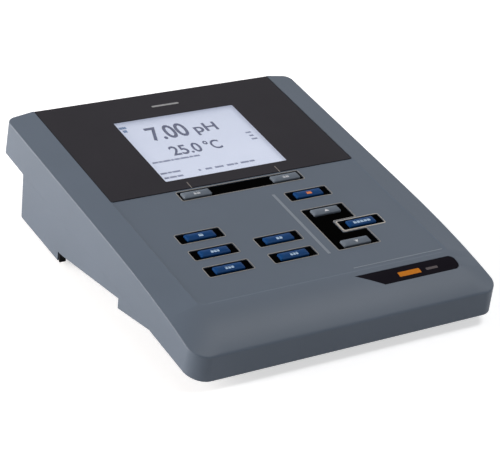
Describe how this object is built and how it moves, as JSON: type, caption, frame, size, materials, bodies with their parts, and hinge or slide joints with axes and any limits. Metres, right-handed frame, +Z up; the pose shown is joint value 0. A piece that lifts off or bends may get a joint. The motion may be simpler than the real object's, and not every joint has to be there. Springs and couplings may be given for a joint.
{
  "type": "benchtop ph and conductivity meter",
  "caption": "Benchtop meter: a sloping slab housing with a framed display, slim push keys and a badge on its rolled-off nose, over a stepped body with rear sockets and a sliding battery lid.",
  "frame": {"origin": "on the table, under the middle of the housing's footprint", "axes": "+X to the user's right, +Y to the rear with the sockets, +Z up"},
  "size_m": [0.19, 0.2218, 0.0599],
  "materials": {
    "housing": "fine spark-eroded grain, satin",
    "panel": "satin printed film",
    "window": "clear, slightly hazed",
    "display": "lit liquid crystal",
    "light_plastic": "diffusing white",
    "black_plastic": "fine grain",
    "key_mat": "moulded silicone",
    "board": "solder mask",
    "blue_key": "fine grain",
    "grey_key": "fine grain",
    "badge": "satin plate with an orange bar",
    "steel": "plated",
    "bright_metal": "nickel plated",
    "gilt_contact": "gilt",
    "battery": "printed wrap",
    "ribbon": "flat cable",
    "foot_rubber": "soft, matt"
  },
  "bodies": {
    "housing": {"upper_shell": "housing", "lower_shell": "housing", "display_panel": "panel", "display_window": "window", "display_cell": "display", "display_backlight": "light_plastic", "display_carrier": "black_plastic", "key_insert": "black_plastic", "socket_plate": "black_plastic", "ribbon_socket_upper": "black_plastic", "ribbon_socket_lower": "black_plastic", "probe_jack_1": "black_plastic", "probe_jack_2": "black_plastic", "supply_socket": "black_plastic", "sensor_socket": "black_plastic", "processor": "black_plastic", "key_mat": "key_mat", "front_board": "board", "main_board": "board", "badge_plate": "badge", "contact_strip_rear": "steel", "contact_strip_front": "steel", "data_socket": "steel", "amplifier_shield": "steel", "clock_cell": "steel", "board_screw_1": "steel", "board_screw_2": "steel", "board_screw_3": "steel", "board_screw_4": "steel", "housing_screw_1": "steel", "housing_screw_2": "steel", "housing_screw_3": "steel", "housing_screw_4": "steel", "main_screw_1": "steel", "main_screw_2": "steel", "main_screw_3": "steel", "main_screw_4": "steel", "electrode_socket": "bright_metal", "electrode_contact": "gilt_contact", "battery_1": "battery", "battery_2": "battery", "battery_3": "battery", "battery_4": "battery", "ribbon_cable": "ribbon", "heel_foot_left": "foot_rubber", "heel_foot_right": "foot_rubber", "front_foot_left": "foot_rubber", "front_foot_right": "foot_rubber"},
    "function_key_left_body": {"function_key_left": "grey_key"},
    "function_key_right_body": {"function_key_right": "grey_key"},
    "power_key_body": {"power_key": "blue_key"},
    "measure_key_body": {"measure_key": "blue_key"},
    "calibrate_key_body": {"calibrate_key": "blue_key"},
    "store_key_body": {"store_key": "blue_key"},
    "hold_key_body": {"hold_key": "blue_key"},
    "recall_key_body": {"recall_key": "blue_key"},
    "up_key_body": {"up_key": "grey_key"},
    "enter_key_body": {"enter_key": "blue_key"},
    "down_key_body": {"down_key": "grey_key"},
    "battery_lid_body": {"battery_lid": "housing"}
  },
  "joints": [
    {"name": "function_key_left_press", "type": "slide", "parent": "housing", "child": "function_key_left_body", "axis": [0, 0.1392, -0.9903], "range_m": [0, 0.001], "stiffness_N_per_m": 800, "springref_m": -0.0005},
    {"name": "function_key_right_press", "type": "slide", "parent": "housing", "child": "function_key_right_body", "axis": [0, 0.1392, -0.9903], "range_m": [0, 0.001], "stiffness_N_per_m": 800, "springref_m": -0.0005},
    {"name": "power_key_press", "type": "slide", "parent": "housing", "child": "power_key_body", "axis": [0, 0.1392, -0.9903], "range_m": [0, 0.001], "stiffness_N_per_m": 800, "springref_m": -0.0005},
    {"name": "measure_key_press", "type": "slide", "parent": "housing", "child": "measure_key_body", "axis": [0, 0.1392, -0.9903], "range_m": [0, 0.001], "stiffness_N_per_m": 800, "springref_m": -0.0005},
    {"name": "calibrate_key_press", "type": "slide", "parent": "housing", "child": "calibrate_key_body", "axis": [0, 0.1392, -0.9903], "range_m": [0, 0.001], "stiffness_N_per_m": 800, "springref_m": -0.0005},
    {"name": "store_key_press", "type": "slide", "parent": "housing", "child": "store_key_body", "axis": [0, 0.1392, -0.9903], "range_m": [0, 0.001], "stiffness_N_per_m": 800, "springref_m": -0.0005},
    {"name": "hold_key_press", "type": "slide", "parent": "housing", "child": "hold_key_body", "axis": [0, 0.1392, -0.9903], "range_m": [0, 0.001], "stiffness_N_per_m": 800, "springref_m": -0.0005},
    {"name": "recall_key_press", "type": "slide", "parent": "housing", "child": "recall_key_body", "axis": [0, 0.1392, -0.9903], "range_m": [0, 0.001], "stiffness_N_per_m": 800, "springref_m": -0.0005},
    {"name": "up_key_press", "type": "slide", "parent": "housing", "child": "up_key_body", "axis": [0, 0.1392, -0.9903], "range_m": [0, 0.001], "stiffness_N_per_m": 800, "springref_m": -0.0005},
    {"name": "enter_key_press", "type": "slide", "parent": "housing", "child": "enter_key_body", "axis": [0, 0.1392, -0.9903], "range_m": [0, 0.001], "stiffness_N_per_m": 800, "springref_m": -0.0005},
    {"name": "down_key_press", "type": "slide", "parent": "housing", "child": "down_key_body", "axis": [0, 0.1392, -0.9903], "range_m": [0, 0.001], "stiffness_N_per_m": 800, "springref_m": -0.0005},
    {"name": "battery_lid_slide", "type": "slide", "parent": "housing", "child": "battery_lid_body", "axis": [0, 1, 0], "range_m": [0, 0.058]}
  ]
}
